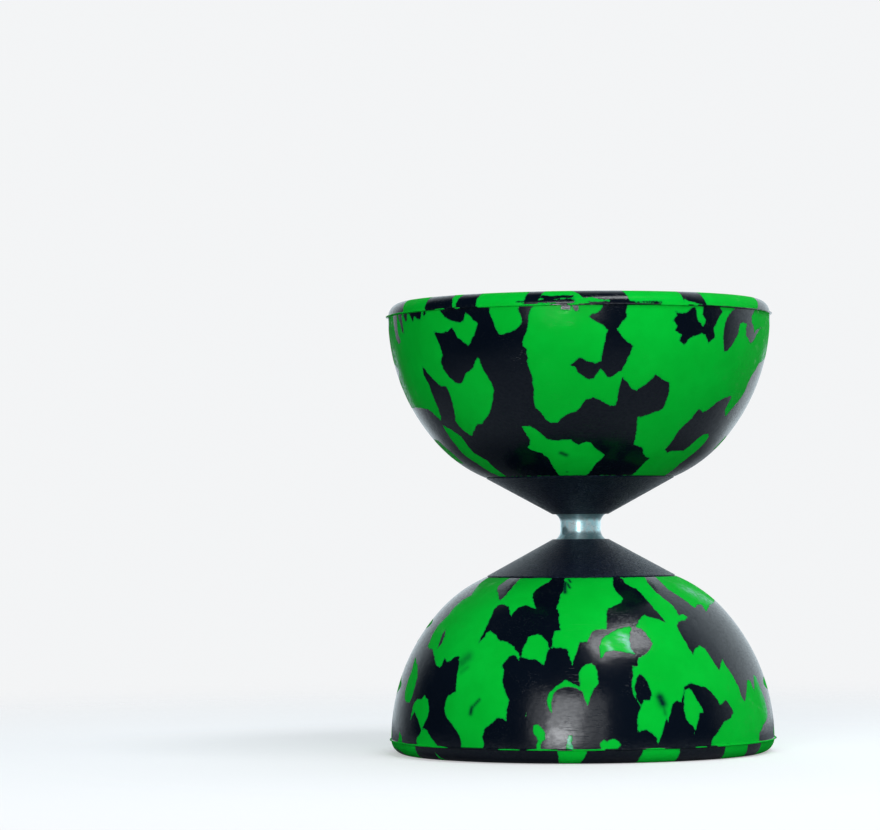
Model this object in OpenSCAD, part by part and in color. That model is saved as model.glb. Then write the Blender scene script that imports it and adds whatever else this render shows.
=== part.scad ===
// Diabolo: two marbled rubber cups clamped back to back on a fixed steel axle.
// +Z runs along the axle. The origin is the centre of the ring that the lower cup stands on.
// Both halves share one set of sections, drawn as radius (x) against distance from mid-axle (y).

/* [Cups] */
// Outer diameter of a cup's wall at its widest
cup_d = 124; // [121:0.5:128]
// Distance from the middle of the axle to the widest part of a cup
bowl_h = 68.5; // [66:0.5:70]
// Thickness of a cup's wall
cup_wall = 4; // [3:0.5:5]
// Thickness of the flat floor that the hub clamps
floor_t = 4; // [3:0.5:5]
// Radius of the rounded lip in section
lip_r = 4.5; // [4:0.1:5]
// Width of the flat ring that a cup stands on
land_w = 1.9; // [1:0.1:2.5]
// How far the mould flash stands proud of the wall
flash_proud = 0.9; // [0.4:0.1:1.2]
// Radius of the tighter curve round a cup's shoulder, next to the hub
shoulder_r = 43.4; // [42:0.2:48]
// Slope of the wall where the shoulder's curve begins, in degrees
shoulder_angle = 42; // [40:0.5:44]
// Diameter of the hole in a cup's floor
floor_hole_d = 28; // [24:1:32]

/* [Hub cones] */
// Width of the gap that the string runs in, between the cones' tips
string_gap = 8.1; // [7:0.1:9]
// Diameter of a cone at its tip
cone_tip_d = 18.1; // [17.7:0.1:20]
// Diameter of a cone at its base
cone_base_d = 60.8; // [58:0.2:61.4]
// Height of a cone from its tip to the cup that it seats
cone_h = 12.1; // [11.5:0.1:12.5]
// Height of the upright edge round a cone's base
cone_edge_h = 0.4; // [0.2:0.1:0.8]

/* [Axle] */
// Diameter of the spool at its waist, where the string runs
waist_d = 13.1; // [11.5:0.1:14]
// Diameter of the spool's flanges
flange_d = 16.3; // [15.5:0.1:16.5]
// Radius of the curve from the waist up to each flange
groove_r = 3.4; // [3.2:0.1:3.8]
// Depth that each flange sits in its cone
flange_seat = 2.5; // [1.5:0.5:4]
// Diameter of the threaded rod
rod_d = 8; // [7.6:0.1:8.2]
// Length of rod that stands free of each nut
rod_free = 5.2; // [3:0.2:8]

/* [Clamping parts] */
// Diameter of the plate inside each cup
plate_d = 46; // [40:1:52]
// Thickness of the plate
plate_t = 4; // [3:0.5:5]
// Outer diameter of the washer
washer_d = 16; // [15:0.5:20]
// Thickness of the washer
washer_t = 1.6; // [1:0.1:2]
// Width of the nut across its flats
nut_af = 13; // [13:0.5:14]
// Height of the nut with its collar
nut_h = 8; // [7.5:0.5:9]

/* [Hidden] */
$fn = 128;

rubber_green = [0.02, 0.69, 0.19];
nylon_black = [0.05, 0.06, 0.08];
bright_steel = [0.80, 0.83, 0.84];
zinc_steel = [0.68, 0.70, 0.72];
insert_white = [0.86, 0.88, 0.86];

cup_r = cup_d / 2;
lip_x = cup_r - lip_r;
rim_h = bowl_h + sqrt(lip_r * lip_r - land_w * land_w / 4);
tip_h = string_gap / 2;
seat_h = tip_h + cone_h;
floor_h = seat_h + floor_t;

// The shoulder's arc is tangent to the bowl's sphere at shoulder_angle.
shoulder_x = (cup_r - shoulder_r) * cos(shoulder_angle);
shoulder_y = bowl_h - (cup_r - shoulder_r) * sin(shoulder_angle);

flash_root = 0.35;
flash_edge = 0.1;
flash_bite = 1;

fit_gap = 0.05;
rod_r = rod_d / 2;
rod_bore_r = rod_r + fit_gap;
pocket_r = flange_d / 2 + fit_gap;
spigot_short = 0.2;
spigot_r = floor_hole_d / 2 - fit_gap;
waist_flat = 2.4;

plate_h = floor_h + plate_t;
washer_h = plate_h + washer_t;
nut_top_h = washer_h + nut_h;
rod_top_h = nut_top_h + rod_free;
rod_chamfer = 0.8;
plate_chamfer = 1;
washer_bore_r = rod_r + 0.2;
nut_chamfer = 0.7;
nut_collar_h = 1.9;
nut_collar_r = nut_af / 2 - 0.4;
collar_lip = 0.5;
insert_r = rod_r + 1.2;
insert_h = 2;

// The halves are the same section, spun about the axle and turned up or down from mid-axle.
module upper_half() {
    translate([0, 0, rim_h]) children();
}

module lower_half() {
    translate([0, 0, rim_h]) mirror([0, 0, 1]) children();
}

// Everything inside a cup's outer surface moved inwards by inset, up to its widest part
module bowl_section(inset) {
    join_h = bowl_h - (cup_r - inset) * sin(shoulder_angle);
    intersection() {
        translate([0, bowl_h]) circle(cup_r - inset);
        translate([0, join_h]) square([cup_r, bowl_h - join_h]);
    }
    intersection() {
        translate([shoulder_x, shoulder_y]) circle(shoulder_r - inset);
        square([cup_r, join_h]);
    }
}

// The ridge of rubber left where the two halves of the mould meet
module flash_section() {
    polygon([
        [cup_r - flash_bite, bowl_h - flash_root],
        [cup_r + flash_proud, bowl_h - flash_edge],
        [cup_r + flash_proud, bowl_h + flash_edge],
        [cup_r - flash_bite, bowl_h + flash_root]
    ]);
}

module cup_section() {
    difference() {
        bowl_section(0);
        square([cup_r, seat_h]);
        square([floor_hole_d / 2, floor_h]);
        intersection() {
            bowl_section(cup_wall);
            translate([0, floor_h]) square([cup_r, bowl_h]);
        }
    }
    intersection() {
        translate([lip_x, bowl_h]) circle(lip_r);
        square([cup_r, rim_h]);
    }
    flash_section();
}

module cup() {
    color(rubber_green) rotate_extrude() cup_section();
}

module hub_cone() {
    pocket_h = tip_h + flange_seat;
    spigot_h = floor_h - spigot_short;
    color(nylon_black) rotate_extrude() polygon([
        [rod_bore_r, pocket_h],
        [pocket_r, pocket_h],
        [pocket_r, tip_h],
        [cone_tip_d / 2, tip_h],
        [cone_base_d / 2, seat_h - cone_edge_h],
        [cone_base_d / 2, seat_h],
        [spigot_r, seat_h],
        [spigot_r, spigot_h],
        [rod_bore_r, spigot_h]
    ]);
}

module axle_spool() {
    end_h = tip_h + flange_seat;
    color(bright_steel) upper_half() rotate_extrude() difference() {
        translate([rod_bore_r, -end_h]) square([flange_d / 2 - rod_bore_r, 2 * end_h]);
        translate([waist_d / 2 + groove_r, waist_flat / 2]) circle(groove_r);
        translate([waist_d / 2 + groove_r, -waist_flat / 2]) circle(groove_r);
        translate([waist_d / 2, -waist_flat / 2]) square([2 * groove_r, waist_flat]);
    }
}

module axle_rod() {
    color(zinc_steel) upper_half() rotate_extrude() polygon([
        [0, -rod_top_h],
        [rod_r - rod_chamfer, -rod_top_h],
        [rod_r, rod_chamfer - rod_top_h],
        [rod_r, rod_top_h - rod_chamfer],
        [rod_r - rod_chamfer, rod_top_h],
        [0, rod_top_h]
    ]);
}

module clamp_plate() {
    color(nylon_black) rotate_extrude() polygon([
        [rod_bore_r, floor_h],
        [plate_d / 2, floor_h],
        [plate_d / 2, plate_h - plate_chamfer],
        [plate_d / 2 - plate_chamfer, plate_h],
        [rod_bore_r, plate_h]
    ]);
}

module washer() {
    color(zinc_steel) translate([0, 0, plate_h]) difference() {
        cylinder(h = washer_t, r = washer_d / 2);
        translate([0, 0, -1]) cylinder(h = washer_t + 2, r = washer_bore_r);
    }
}

// A hexagon body with chamfered corners, and above it a round collar that holds the insert
module locknut() {
    hex_r = nut_af / sqrt(3);
    hex_top_h = nut_top_h - nut_collar_h;
    pocket_h = nut_top_h - collar_lip - insert_h;
    color(zinc_steel) difference() {
        union() {
            intersection() {
                translate([0, 0, washer_h]) cylinder(h = hex_top_h - washer_h, r = hex_r, $fn = 6);
                rotate_extrude() polygon([
                    [0, washer_h],
                    [hex_r - nut_chamfer, washer_h],
                    [hex_r, washer_h + nut_chamfer / 2],
                    [hex_r, hex_top_h - nut_chamfer / 2],
                    [hex_r - nut_chamfer, hex_top_h],
                    [0, hex_top_h]
                ]);
            }
            translate([0, 0, hex_top_h - 1]) cylinder(h = nut_collar_h + 1, r = nut_collar_r);
        }
        translate([0, 0, washer_h - 1]) cylinder(h = nut_h + 2, r = rod_bore_r);
        translate([0, 0, pocket_h]) cylinder(h = insert_h, r = insert_r);
        translate([0, 0, pocket_h]) cylinder(h = nut_h, r = insert_r - 0.4);
    }
}

module nut_insert() {
    color(insert_white) translate([0, 0, nut_top_h - collar_lip - insert_h]) difference() {
        cylinder(h = insert_h, r = insert_r);
        translate([0, 0, -1]) cylinder(h = insert_h + 2, r = rod_r + 0.02);
    }
}

axle_spool();
axle_rod();
upper_half() hub_cone();  // upper_hub_cone
lower_half() hub_cone();  // lower_hub_cone
upper_half() cup();  // upper_cup
lower_half() cup();  // lower_cup
upper_half() clamp_plate();  // upper_clamp_plate
lower_half() clamp_plate();  // lower_clamp_plate
upper_half() washer();  // upper_washer
lower_half() washer();  // lower_washer
upper_half() locknut();  // upper_locknut
lower_half() locknut();  // lower_locknut
upper_half() nut_insert();  // upper_nut_insert
lower_half() nut_insert();  // lower_nut_insert
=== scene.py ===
import math

import bmesh
import bpy
import numpy as np
from mathutils import Matrix, Vector


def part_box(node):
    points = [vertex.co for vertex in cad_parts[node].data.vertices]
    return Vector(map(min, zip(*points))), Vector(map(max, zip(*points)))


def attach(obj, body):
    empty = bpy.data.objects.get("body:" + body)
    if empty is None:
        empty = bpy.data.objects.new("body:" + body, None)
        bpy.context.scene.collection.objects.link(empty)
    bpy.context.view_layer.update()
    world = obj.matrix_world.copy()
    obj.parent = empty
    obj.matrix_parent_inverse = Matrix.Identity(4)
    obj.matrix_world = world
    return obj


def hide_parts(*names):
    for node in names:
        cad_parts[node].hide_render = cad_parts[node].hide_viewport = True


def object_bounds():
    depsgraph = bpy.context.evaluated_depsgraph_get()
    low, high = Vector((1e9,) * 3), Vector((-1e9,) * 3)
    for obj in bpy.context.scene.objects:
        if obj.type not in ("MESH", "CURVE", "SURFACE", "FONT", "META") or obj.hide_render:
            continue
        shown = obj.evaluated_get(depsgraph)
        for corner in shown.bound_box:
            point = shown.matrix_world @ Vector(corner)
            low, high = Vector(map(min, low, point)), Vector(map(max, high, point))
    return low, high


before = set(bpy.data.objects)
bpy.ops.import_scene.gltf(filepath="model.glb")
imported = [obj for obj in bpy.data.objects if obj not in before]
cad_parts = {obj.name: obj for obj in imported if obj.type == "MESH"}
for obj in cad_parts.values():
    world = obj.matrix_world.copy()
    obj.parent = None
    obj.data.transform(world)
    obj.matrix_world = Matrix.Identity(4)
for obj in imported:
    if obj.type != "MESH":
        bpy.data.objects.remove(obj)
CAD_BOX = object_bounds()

# A diabolo of two marbled rubber cups on a fixed steel axle, standing on its lower rim.
# Lengths are in millimetres until a mesh is made; MM turns them into metres.
# A half's own frame has r outwards from the axle and h away from the middle of the axle.
MM = 0.001
MIDDLE = (CAD_BOX[0].z + CAD_BOX[1].z) / 2
UPPER, LOWER = 1, -1
SIDE_NAMES = {UPPER: "upper", LOWER: "lower"}


def extent(node):
    """The outer radius, the lowest h and the highest h of an upper or a middle node, in millimetres."""
    low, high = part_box(node)
    return (high.x - low.x) / 2 / MM, (low.z - MIDDLE) / MM, (high.z - MIDDLE) / MM


FLASH_R, FOOT_H, RIM_H = extent("upper_cup")
CONE_R, CONE_TIP_H, SPIGOT_H = extent("upper_hub_cone")
SPOOL_R, _, SPOOL_H = extent("axle_spool")
ROD_R, _, ROD_H = extent("axle_rod")
PLATE_R, FLOOR_H, PLATE_TOP_H = extent("upper_clamp_plate")
WASHER_R, WASHER_H, WASHER_TOP_H = extent("upper_washer")
_, NUT_H, NUT_TOP_H = extent("upper_locknut")
INSERT_R, INSERT_H, INSERT_TOP_H = extent("upper_nut_insert")

# Cup wall: a bowl arc from the mould flash down, and then a flatter shoulder arc to the hub cone
BOWL_R = 62.0
BOWL_H = 68.5
SHOULDER_R = 43.4
SHOULDER_ANGLE = math.radians(42)
HUB_EDGE_R = 31.1
WALL = 4.0
FLOOR_HOLE_R = 14.0
LIP_R = 4.5
LIP_CENTRE_R = BOWL_R - LIP_R
SHOULDER_CENTRE_R = (BOWL_R - SHOULDER_R) * math.cos(SHOULDER_ANGLE)
SHOULDER_CENTRE_H = BOWL_H - (BOWL_R - SHOULDER_R) * math.sin(SHOULDER_ANGLE)
FOOT_R = SHOULDER_CENTRE_R + math.sqrt(SHOULDER_R ** 2 - (SHOULDER_CENTRE_H - FOOT_H) ** 2)
FOOT_ANGLE = math.acos((HUB_EDGE_R - SHOULDER_CENTRE_R) / SHOULDER_R)
SHOULDER_RUN = (FOOT_ANGLE - SHOULDER_ANGLE) * SHOULDER_R
WALL_RUN = SHOULDER_RUN + SHOULDER_ANGLE * BOWL_R

# Hub cone
CONE_TIP_R = 9.05
CONE_EDGE_H = 15.75
SPIGOT_R = 13.95
HUB_BORE_R = 4.05
HUB_POCKET_R = 8.2
HUB_POCKET_H = 6.55

# Spool
WAIST_R = 6.55
GROOVE_R = 3.4
GROOVE_CENTRE_H = 1.2
SPOOL_CHAMFER = 0.3

# Rod, washer, nut and insert
THREAD_PITCH = 1.25
THREAD_DEPTH = 0.65
THREAD_FROM_H = 21.0
ROD_CHAMFER = 0.8
WASHER_BORE_R = 4.2
NUT_ACROSS_FLATS = 13.0
NUT_HEX_TOP_H = 31.85
NUT_COLLAR_R = 6.1
NUT_MOUTH_R = 4.95
INSERT_BORE_R = 4.02
INSERT_INSET = 0.02

# Columns of a cup's mesh on its front half and its back half
FRONT_COLUMNS = 360
BACK_COLUMNS = 180
CUP_AZIMUTHS = np.concatenate([np.linspace(-90, 90, FRONT_COLUMNS, endpoint=False),
                               np.linspace(90, 270, BACK_COLUMNS, endpoint=False)])
COLUMNS = len(CUP_AZIMUTHS)


# --- Marbling ---
# Outlines of the colour patches on the cups' outer walls. An outline is a row of azimuth,run pairs,
# with the azimuth in degrees and the run in millimetres along the wall. Azimuth 0 faces the camera
# and grows towards +X. Run 0 is the hub cone's edge, and run 64 is the mould flash under the lip.
# A patch paints over those before it.
GREEN, BLACK = 1, -1

UPPER_PATCHES = [
    (BLACK, [
        -44.5,64, -44,63, -42.5,61.5, -40.5,60.5, -38.5,60, -36.5,59.5, -35.5,60, -34.5,62.5, -33.5,62,
        -32,60, -30.5,59, -32,55, -34.5,52, -38,55, -40,58, -41.5,57, -44.5,56.5, -47.5,57, -46,54,
        -45,49.5, -46.5,47.5, -46,45, -44.5,42.5, -42.5,40.5, -41,40, -39.5,40.5, -37.5,43, -36,44, -34,45,
        -33.5,46, -31.5,49, -31,46.5, -30,43.5, -28.5,40.5, -28,37.5, -29.5,34, -31.5,30.5, -34,28,
        -37.5,25.5, -39.5,25.5, -41,24.5, -45.5,21, -47,22, -49.5,25, -50,27.5, -48.5,29, -47,33.5,
        -46.5,37, -47,39.5, -49.5,39.5, -52.5,42, -56.5,46.5, -57,43.5, -55.5,40, -56,36.5, -56,32.5,
        -57,29, -58.5,27.5, -61.5,30.5, -63.5,32, -75,33, -95,33, -95,0, 32,0, 32,3, 32,6.5, 32.5,8.5,
        33,10.5, 30.5,11, 28,13, 27,15, 24,16, 22,16.5, 22,18, 21.5,21.5, 21,25, 20.5,27.5, 21.5,27.5,
        24.5,28.5, 27,29.5, 29.5,30.5, 29.5,32, 30,35.5, 29.5,39.5, 26.5,40.5, 24,42, 23,40.5, 21.5,39,
        19.5,37.5, 18.5,36.5, 16.5,37.5, 15,39.5, 13.5,41, 13,39.5, 12.5,37, 12.5,33, 12,31.5, 10,31.5,
        7.5,33, 4.5,34.5, 2,33.5, 0,30.5, -1,29.5, -3,29, -5,28, -8,25.5, -10,25.5, -12,26.5, -13,29,
        -15,31.5, -15,34, -14.5,37.5, -14.5,42, -15.5,45, -15.5,50.5, -16.5,51.5, -16.5,53, -15,56.5,
        -14.5,60.5, -14,62.5, -13,64, -17.5,64, -17.5,63, -16.5,60.5, -16.5,58.5, -18.5,56.5, -21.5,55.5,
        -23.5,55, -24.5,56.5, -25,58.5, -26.5,62, -26.5,64]),
    (GREEN, [
        -59.5,26, -55.5,24, -52,21, -52,14, -47.5,10, -48.5,5.5, -49,0, -55,0, -57.5,3, -58,8, -61,13,
        -60.5,18, -60,23]),
    (GREEN, [
        -21.5,24.5, -18.5,24.5, -16,23, -13.5,20.5, -12.5,19, -9.5,18.5, -3.5,19, -2,17.5, -0.5,16.5,
        1.5,17.5, 2.5,18, 4.5,17.5, 5.5,16, 8.5,13.5, 11,12, 10,10, 7.5,7.5, 6.5,4.5, 5,1.5, 3,0, -12,0,
        -13,3, -13.5,7, -14,10, -16.5,13, -19,14, -22,15.5, -20.5,17, -19.5,18.5, -20,20, -20.5,22]),
    (GREEN, [-90,7, -74,9, -72,14, -76,20, -90,22]),
    (BLACK, [-74,64, -70,64, -69.5,58, -68,55, -70,54.5, -72,56, -73,60]),
    (BLACK, [-69,64, -65.5,64, -65,61, -64.5,58.5, -64,57.5, -65.5,58, -67,61]),
    (BLACK, [-64,64, -61.5,64, -61.5,62, -62.5,61, -63.5,62.5]),
    (BLACK, [-61,64, -53,64, -53.5,61.5, -55,61.5, -57,62.5, -58,61, -59,62.5]),
    (BLACK, [-52.5,63.5, -51,64, -51,63, -52,62.5]),
    (BLACK, [
        7,64, 7,63, 5.5,61.5, 3,60.5, 4.5,59, 6.5,58, 8.5,56, 8,54.5, 7.5,52, 7,49, 6.5,46.5, 5,45.5,
        3.5,46, 1,47, 0,47.5, -1.5,46, -2.5,45, -1,44.5, 0,42.5, 0.5,42, 3,40.5, 4.5,41, 5.5,42.5, 6.5,44,
        7.5,43, 8.5,41.5, 9.5,41, 11,42, 12,43, 13,43.5, 14,45.5, 15,48.5, 16,51, 14,52.5, 12.5,54, 11,56.5,
        12.5,58.5, 14,60.5, 13.5,62, 14.5,64]),
    (BLACK, [-5,64, -5,62.5, -2.5,62.5, -2.5,64]),
    (BLACK, [-2,64, -1,62, 0,62, 0,64]),
    (BLACK, [
        29,62, 30,61.5, 32.5,61.5, 34.5,63, 36,63.5, 36.5,60.5, 37,59, 39,57.5, 40,59.5, 38.5,61.5, 39,64,
        45,64, 46.5,62.5, 45.5,61, 44,58.5, 43,57, 43.5,56, 44,54.5, 43,53.5, 41.5,52.5, 41,53.5, 40,55,
        38.5,55.5, 36,54.5, 34.5,54, 33.5,53, 32.7,51.6, 30.8,53, 31.4,54.8, 29.2,56, 30,57.4, 28.2,59.2,
        29.6,60.6]),
    (BLACK, [
        53,64, 49.5,61.5, 48,59, 47.5,55.5, 48,52.5, 49,50, 50,50, 51.5,51.5, 52.5,52.5, 53.5,54, 55,56.5,
        55,59, 57.5,59.5, 59.5,59, 59,57.5, 59.5,55.5, 63,53, 65.5,54.5, 66.5,56, 70,58.5, 66,57.5, 65,56.5,
        62.5,60, 62,61.5, 64.5,64]),
    (BLACK, [
        60,35.5, 57,35, 52.5,33, 50,30.5, 47.5,29.5, 45,30.5, 44,29.5, 43.5,27, 41.5,25, 40,22.5, 39.5,21,
        39.5,19, 39,16, 38.5,14.5, 41,13, 43,14, 50,14, 51.5,16, 53,19, 55,21, 58,21.5, 60.5,20.5, 61,17.5,
        59.5,13, 57.5,7.5, 61.5,0, 95,0, 95,47, 75,47, 70.5,43, 69.5,40.5, 69.5,37, 67.5,34, 64.5,30.5,
        63.5,28, 60,30.5, 60.5,34.5]),
    (GREEN, [80,15, 90,15, 90,27, 82,26]),
]

LOWER_PATCHES = [
    (GREEN, [
        -47,0, -47,5, -44.5,8, -41,10, -37.5,13, -36.5,10.5, -36.5,7.5, -37,4, -38.5,0, -17,0, -17.5,2.5,
        -21,5.5, -22.5,8.5, -22,11.5, -20,14.5, -18,17, -20.5,16, -23.5,15, -26,16, -27.5,18, -28,20,
        -29.5,18, -31,16, -33.5,15, -37,15, -37.5,17, -37,20, -37,22.5, -37,26, -37.5,28.5, -37.5,30,
        -36,28, -36,26, -34.5,25.5, -31.5,27, -29,29, -26,29.5, -23.5,31, -21.5,33, -20.5,34, -20.5,36,
        -22,34, -24,34.5, -25,36, -26,37.5, -25,39.5, -25,42.5, -24,45, -22,49, -22.5,51, -22.5,53,
        -22.5,55.5, -23.5,54.5, -25.5,54.5, -27.5,56.5, -29.5,58, -30,60.5, -29.5,62.5, -30,64, -37.5,64,
        -37.5,62, -38.5,60, -40.5,57.5, -43.5,55, -45,53, -45,50, -44.5,48, -41.5,46.5, -42,44, -42.5,40.5,
        -43,37.5, -44,35, -46,35, -47.5,36.5, -49,37, -51,35.5, -51,38, -52,39, -54.5,38, -57,35.5,
        -60.5,33, -66,32, -66,30, -67.5,27.5, -67.5,23.5, -65,20, -65.5,16.5, -64.5,13, -60.5,10.5, -66.5,6,
        -71,3, -74.5,0]),
    (BLACK, [-59,25.5, -59.5,27, -58.5,29, -57.5,32.5, -56.5,30.5, -57,28]),
    (GREEN, [
        -20,35, -20,32, -19,29.5, -19,27.5, -17.5,27, -16.5,27, -15.5,26.5, -13.5,27.5, -11.5,29.5,
        -11,31.5, -11.5,34, -11.5,36, -12,37.5, -13.5,36.5, -15,35.5, -17,35.5, -19.5,35]),
    (GREEN, [
        -9.5,0, -9,4.5, -8.5,8, -9.5,10, -9.5,13, -10,16.5, -8.5,19, -8.5,21.5, -7.5,25, -9.5,25.5, -10,28,
        -10,31, -10.8,32, -9,31.5, -7,31.5, -5,32, -4,34.5, -3,37.5, -2.5,36, -2,34, -1,31.5, -0.5,29.5,
        2,29.5, 2.5,28, 4,25.5, 5.5,25, 9,25, 9.5,22, 10,18, 11,16.5, 14,15.5, 17,14, 18.5,12, 17.5,10.5,
        16.5,8.5, 16.5,6, 17,3.5, 19,0]),
    (GREEN, [
        -10.5,49, -10,46.5, -8,44.5, -5,42.2, -4.5,42.2, -3,43.4, -0.6,44.4, 0,46, -1,45.3, -3,44.6,
        -5,44.4, -7,45.1, -8.6,46.8, -9,49, -8.7,53, -9.6,51.5, -10.2,50.2]),
    (GREEN, [
        -0.8,39.4, -0.2,38.2, 1.2,37.2, 2.8,36.8, 4.1,37.6, 4.8,39.2, 5,43.3, 3.6,44.9, 2.6,47.5, 1.6,50.5,
        1,49, 0.2,46.6, -0.7,44.8, -0.9,42]),
    (GREEN, [
        -14.4,57.4, -14,56.5, -13.2,56.1, -12.2,56.6, -11.3,57.7, -10.6,59.2, -10.7,60.8, -11.6,61.6,
        -12,62.4, -12,64, -13.2,64, -13.4,62.8, -12.6,61.4, -13.4,59.8, -14.2,58.6]),
    (GREEN, [-5,64, -4,59.5, -3,59.5, -3,62, -2.5,64]),
    (GREEN, [
        -56,48, -53.5,49.5, -52,53, -52.5,55, -54,57.5, -55,59.5, -56,58, -58.5,55, -60.5,53.5, -62.5,57,
        -62.5,58, -62,54, -61.5,51, -60,49.5, -57,49.5]),
    (GREEN, [-57.5,64, -57.5,62, -55.5,60, -54,58.5, -52,59, -50.5,61, -48.5,62.5, -46.5,64]),
    (GREEN, [
        -73,36, -67,38.5, -64,41.5, -63.5,44, -63.5,48.5, -65,51, -69,50.5, -71,47.5, -71,44, -70.5,40.5]),
    (GREEN, [-72,64, -70.5,60.5, -68,62, -68,64]),
    (GREEN, [23.5,0, 24.5,2, 26.5,4, 26,2.5, 25,0]),
    (GREEN, [
        26.5,0, 40.5,0, 37,5, 37,9, 38.5,12.5, 40.5,15.5, 41,18, 40.5,20, 43,19.5, 45,21, 42,22, 38.5,22.5,
        37,24.5, 37,27.5, 38,30.5, 38.5,33, 39,34.5, 41,32.5, 43.5,31.5, 45.5,33, 46.5,36, 48,39.5, 48.5,40,
        52,36.5, 52.5,39, 54,41.5, 55,44, 56,46.5, 56,49, 57.5,51, 60,47.5, 62.5,44, 64.5,44.5, 65.5,48,
        69,42.5, 71,43.5, 71.5,46.5, 73.5,51, 74.5,54.5, 73,57, 68,59, 64.5,61.5, 64,64, 40,64, 40.5,62,
        43,59.5, 45.5,57, 49,55.5, 50.5,54, 49.5,52, 48,50, 45,51.5, 44.5,50, 43,48, 40.5,45.5, 38,45,
        35,44, 32.5,45, 31.5,47.5, 30.5,50, 29,49.5, 27.5,50.5, 26.5,53, 25.5,56, 25,55, 24,57.5, 23,60.5,
        22,62.5, 21.5,60.5, 20,59, 18.5,58, 16,59, 16,54, 17,52, 17.5,51, 15.5,48, 15,44.5, 16,40, 16,38,
        17.5,38, 18.5,35, 20.5,34.5, 23.5,32, 24.5,30, 23.5,27.5, 22,25, 20,24.5, 21,22.5, 23,20.5, 25,19.5,
        28,21, 30.5,21.5, 32.5,22.5, 32,20.5, 30.5,17.5, 29.5,14, 28.5,10.5, 27.5,7, 26.5,7, 23.5,4,
        24.5,1]),
    (BLACK, [18,40.5, 19.5,42, 20.5,44, 21,47.5, 20,49, 18.5,49, 17.5,51, 16.5,49, 16,45, 17,42]),
    (GREEN, [
        32.5,46, 34,45.5, 35,46.5, 36,49, 37.5,51.5, 38,53.5, 36.5,53.5, 35.5,56.5, 34,60, 34,58, 33,57,
        31.5,55.5, 31,52.5, 31.5,49.5]),
    (GREEN, [
        10,26.5, 12.5,25, 17.5,24, 18.5,24.5, 17,26.5, 16.5,29.5, 16.5,32, 17.5,34, 15.5,33.5, 13,33,
        10.5,32.5, 8,33, 6,35.5, 6,33, 6,31, 7,28.5, 8,27.5]),
    (GREEN, [5,64, 5,62, 6,61, 7,61.5, 8.5,60.5, 10,61, 11,62.5, 10,64]),
    (GREEN, [-16.8,51.8, -16.4,51.8, -16.5,53.5]),
    (GREEN, [
        49.5,0, 47.5,3.5, 46,8, 48.5,11.5, 50.5,14, 52.5,17.5, 56,16, 60,16, 58.5,19, 66,16.5, 75,15.5,
        88,14, 88,0]),
]

WALL_BASE = {UPPER: GREEN, LOWER: BLACK}
WALL_PATCHES = {UPPER: UPPER_PATCHES, LOWER: LOWER_PATCHES}

# The lip is painted in blocks of the second colour. Each has its first and last azimuth
# at the mould flash, and then its first and last azimuth at the rim.
LIP_BASE = {UPPER: GREEN, LOWER: BLACK}
LIP_BLOCKS = {
    UPPER: [(-95, -64, -95, -67), (-51.2, -39.4, -51.5, -41), (-38.4, -31.2, -37.3, -30.5),
            (-16, -12, -14.8, -10.2), (3.5, 15, -2, 13), (32.3, 40, 31.3, 38.6), (66.5, 95, 71, 95),
            (108, 119, 106, 120), (131, 150, 133, 148), (166, 171, 167, 174),
            (189, 204, 190, 201), (215, 221, 214, 222), (236, 252, 238, 250)],
    LOWER: [(-95, -58.5, -95, -59), (-7, 1.5, -7, -1), (17.4, 28.9, 15.9, 28.9),
            (45.7, 56.6, 46.5, 58.5), (65.5, 85, 66, 85),
            (104, 112, 106, 113), (127, 149, 125, 150), (163, 170, 164, 168),
            (188, 197, 190, 199), (212, 231, 210, 230), (246, 252, 247, 251)],
}
# Smears on the lip, painted over the blocks like the patches on the wall.
LIP_PATCHES = {
    UPPER: [
        (BLACK, [
            -18,65.2, -15,64.8, -12,64.9, -9,64.6, -4,64.2, -1,64.4, -1,65.3, -4,65.9, -6,65.6, -9,65.9,
            -11,65.7, -13,65.4, -15,65.6]),
        (BLACK, [-11.5,66.4, -10.5,67.3, -8,66.9, -5,67.2, -1.5,67.1, -1.6,66.3, -5,66.1, -7,65.8, -10,66]),
        (BLACK, [13,64.2, 19,64.4, 24.5,64.3, 24.5,64.9, 20,65, 18,64.8, 13,65]),
        (GREEN, [0,65.6, 3,66.4, 6,65.6, 9,65.4, 9,64.8, 0,64.8]),
        (GREEN, [32,64, 32,66.4, 33.5,65.6, 35,65.1, 37,64.7, 38.5,64.4, 38.5,64]),
    ],
    LOWER: [
        (GREEN, [-48.5,66, -47.5,67.5, -46.5,70, -48.5,71]),
        (BLACK, [-80,66, -72,67, -70,69, -76,70]),
    ],
}
# Azimuth ranges where the mould flash itself is green.
FLASH_GREENS = {
    UPPER: [(-86, -50), (-46, -42), (-38, -36), (-30, -8), (-3, 0), (24, 33), (35, 36.5),
            (96, 140), (152, 178), (190, 236), (250, 264)],
    LOWER: [(-95, -42), (-24.5, -18), (-16, -7), (-3, 6.5), (18, 24), (34, 38), (42, 85),
            (98, 118), (140, 149), (170, 204), (230, 259)],
}

# Dark rubbed marks: (azimuth, run) of both ends, half width in millimetres and strength.
MARKS = {
    UPPER: [((-8, 13), (-6, 12), 0.8, 0.9), ((-7, 2.5), (-7, 2.5), 0.4, 0.9)],
    LOWER: [((-41.8, 36.8), (-40, 35), 1.9, 0.55), ((-41, 40), (-39, 38.5), 0.9, 0.35),
            ((-32, 48.8), (-34.3, 51.4), 0.5, 0.9), ((-34.4, 51.4), (-34.6, 53.2), 0.7, 1.0),
            ((23.6, 48.2), (24.3, 50.2), 1.4, 1.0), ((24.4, 50.5), (24.8, 53.5), 0.7, 0.5),
            ((-8.5, 3), (-7.5, 9), 0.7, 1.0), ((-7, 4), (-5.5, 6.5), 0.45, 1.0),
            ((-7, 1), (-5.5, 3), 0.4, 1.0)],
}

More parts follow.
